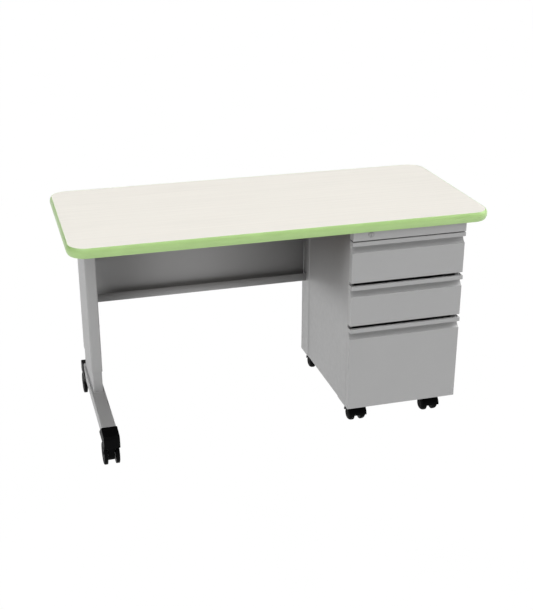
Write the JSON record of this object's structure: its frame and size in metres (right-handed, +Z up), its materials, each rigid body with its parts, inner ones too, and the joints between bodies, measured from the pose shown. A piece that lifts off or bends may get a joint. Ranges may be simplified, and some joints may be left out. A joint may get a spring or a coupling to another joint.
{
  "type": "teacher desk",
  "caption": "Mobile single-pedestal teacher desk: laminate top, column leg with castored foot, steel pedestal with lockable drawers, modesty panel with cable trough.",
  "frame": {"origin": "on the floor, under the middle of the desk's overall footprint", "axes": "+X along the desk towards the pedestal, +Y from the sitter's side to the modesty panel, +Z up; the drawers open along -Y"},
  "size_m": [1.384, 0.668, 0.737],
  "materials": {
    "laminate": "off-white laminate, fine lengthwise grain, satin",
    "edge_band": "light green extruded plastic band with a bulging face, satin",
    "core_board": "particleboard",
    "backer": "brown phenolic backer sheet",
    "powder_coat": "silver-grey powder coat, fine texture",
    "drawer_steel": "silver-grey powder coat, satin",
    "zinc_steel": "bright zinc plate",
    "lock_chrome": "satin chrome",
    "black_nylon": "moulded black nylon",
    "wheel_nylon": "moulded black nylon, polished tread",
    "tray_plastic": "black polystyrene"
  },
  "bodies": {
    "desk": {"top_core": "core_board", "top_laminate": "laminate", "top_backer": "backer", "edge_band": "edge_band", "top_screws": "zinc_steel", "leg_sleeve": "powder_coat", "leg_insert": "powder_coat", "leg_top_plate": "powder_coat", "height_bolts": "zinc_steel", "foot_tube": "powder_coat", "foot_cap_front": "black_nylon", "foot_cap_rear": "black_nylon", "modesty_panel": "powder_coat", "modesty_brackets": "powder_coat", "panel_screws": "zinc_steel", "case_left": "powder_coat", "case_right": "powder_coat", "case_back": "powder_coat", "case_base": "powder_coat", "case_top": "powder_coat", "top_rail": "powder_coat", "slide_posts": "zinc_steel", "slide_rails": "zinc_steel", "lock_barrel": "lock_chrome", "caster_bushings": "zinc_steel"},
    "lock": {"lock_plug": "lock_chrome", "lock_cam": "zinc_steel"},
    "lock_bar": {"lock_bar": "zinc_steel"},
    "drawer_1": {"drawer_front_1": "powder_coat", "drawer_tray_1": "drawer_steel", "slide_runners_1": "zinc_steel", "pencil_tray": "tray_plastic"},
    "slide_middle_1": {"slide_middles_1": "zinc_steel"},
    "drawer_2": {"drawer_front_2": "powder_coat", "drawer_tray_2": "drawer_steel", "slide_runners_2": "zinc_steel"},
    "slide_middle_2": {"slide_middles_2": "zinc_steel"},
    "drawer_3": {"drawer_front_3": "powder_coat", "drawer_tray_3": "drawer_steel", "slide_runners_3": "zinc_steel", "file_rails": "zinc_steel"},
    "slide_middle_3": {"slide_middles_3": "zinc_steel"},
    "caster_fl": {"caster_hood_fl": "black_nylon", "caster_pins_fl": "zinc_steel"},
    "wheels_fl": {"caster_wheels_fl": "wheel_nylon"},
    "caster_fr": {"caster_hood_fr": "black_nylon", "caster_pins_fr": "zinc_steel"},
    "wheels_fr": {"caster_wheels_fr": "wheel_nylon"},
    "caster_bl": {"caster_hood_bl": "black_nylon", "caster_pins_bl": "zinc_steel"},
    "wheels_bl": {"caster_wheels_bl": "wheel_nylon"},
    "caster_br": {"caster_hood_br": "black_nylon", "caster_pins_br": "zinc_steel"},
    "wheels_br": {"caster_wheels_br": "wheel_nylon"},
    "foot_caster_front": {"foot_fork_front": "black_nylon", "foot_pins_front": "zinc_steel"},
    "foot_wheels_front": {"foot_wheels_front": "wheel_nylon"},
    "foot_caster_rear": {"foot_fork_rear": "black_nylon", "foot_pins_rear": "zinc_steel"},
    "foot_wheels_rear": {"foot_wheels_rear": "wheel_nylon"}
  },
  "joints": [
    {"name": "drawer_1_slide", "type": "slide", "parent": "desk", "child": "drawer_1", "axis": [0, -1, 0], "range_m": [0, 0.43]},
    {"name": "slide_middle_1_slide", "type": "slide", "parent": "desk", "child": "slide_middle_1", "axis": [0, -1, 0], "range_m": [0, 0.215]},
    {"name": "drawer_2_slide", "type": "slide", "parent": "desk", "child": "drawer_2", "axis": [0, -1, 0], "range_m": [0, 0.43]},
    {"name": "slide_middle_2_slide", "type": "slide", "parent": "desk", "child": "slide_middle_2", "axis": [0, -1, 0], "range_m": [0, 0.215]},
    {"name": "drawer_3_slide", "type": "slide", "parent": "desk", "child": "drawer_3", "axis": [0, -1, 0], "range_m": [0, 0.43]},
    {"name": "slide_middle_3_slide", "type": "slide", "parent": "desk", "child": "slide_middle_3", "axis": [0, -1, 0], "range_m": [0, 0.215]},
    {"name": "lock_turn", "type": "hinge", "parent": "desk", "child": "lock", "pos_m": [0.27, -0.2735, 0.6925], "axis": [0, 1, 0], "range_deg": [0, 90]},
    {"name": "lock_bar_lift", "type": "slide", "parent": "desk", "child": "lock_bar", "axis": [0, 0, 1], "range_m": [0, 0.00849]},
    {"name": "caster_fl_swivel", "type": "hinge", "parent": "desk", "child": "caster_fl", "pos_m": [0.2585, -0.2045, 0.066], "axis": [0, 0, 1], "continuous": true},
    {"name": "wheels_fl_roll", "type": "hinge", "parent": "caster_fl", "child": "wheels_fl", "pos_m": [0.2585, -0.2195, 0.025], "axis": [1, 0, 0], "continuous": true},
    {"name": "caster_fr_swivel", "type": "hinge", "parent": "desk", "child": "caster_fr", "pos_m": [0.529, -0.2045, 0.066], "axis": [0, 0, 1], "continuous": true},
    {"name": "wheels_fr_roll", "type": "hinge", "parent": "caster_fr", "child": "wheels_fr", "pos_m": [0.529, -0.2195, 0.025], "axis": [1, 0, 0], "continuous": true},
    {"name": "caster_bl_swivel", "type": "hinge", "parent": "desk", "child": "caster_bl", "pos_m": [0.2585, 0.197, 0.066], "axis": [0, 0, 1], "continuous": true},
    {"name": "wheels_bl_roll", "type": "hinge", "parent": "caster_bl", "child": "wheels_bl", "pos_m": [0.2585, 0.212, 0.025], "axis": [1, 0, 0], "continuous": true},
    {"name": "caster_br_swivel", "type": "hinge", "parent": "desk", "child": "caster_br", "pos_m": [0.529, 0.197, 0.066], "axis": [0, 0, 1], "continuous": true},
    {"name": "wheels_br_roll", "type": "hinge", "parent": "caster_br", "child": "wheels_br", "pos_m": [0.529, 0.212, 0.025], "axis": [1, 0, 0], "continuous": true},
    {"name": "foot_caster_front_swivel", "type": "hinge", "parent": "desk", "child": "foot_caster_front", "pos_m": [-0.602, -0.296, 0.079], "axis": [0, 0, 1], "continuous": true},
    {"name": "foot_wheels_front_roll", "type": "hinge", "parent": "foot_caster_front", "child": "foot_wheels_front", "pos_m": [-0.602, -0.281, 0.0375], "axis": [1, 0, 0], "continuous": true},
    {"name": "foot_caster_rear_swivel", "type": "hinge", "parent": "desk", "child": "foot_caster_rear", "pos_m": [-0.602, 0.226, 0.079], "axis": [0, 0, 1], "continuous": true},
    {"name": "foot_wheels_rear_roll", "type": "hinge", "parent": "foot_caster_rear", "child": "foot_wheels_rear", "pos_m": [-0.602, 0.241, 0.0375], "axis": [1, 0, 0], "continuous": true}
  ],
  "couplings": [
    {"joint": "slide_middle_1_slide", "follows": "drawer_1_slide", "ratio": 0.5},
    {"joint": "slide_middle_2_slide", "follows": "drawer_2_slide", "ratio": 0.5},
    {"joint": "slide_middle_3_slide", "follows": "drawer_3_slide", "ratio": 0.5},
    {"joint": "lock_turn", "follows": "lock_bar_lift", "rad_per_m": 185}
  ]
}
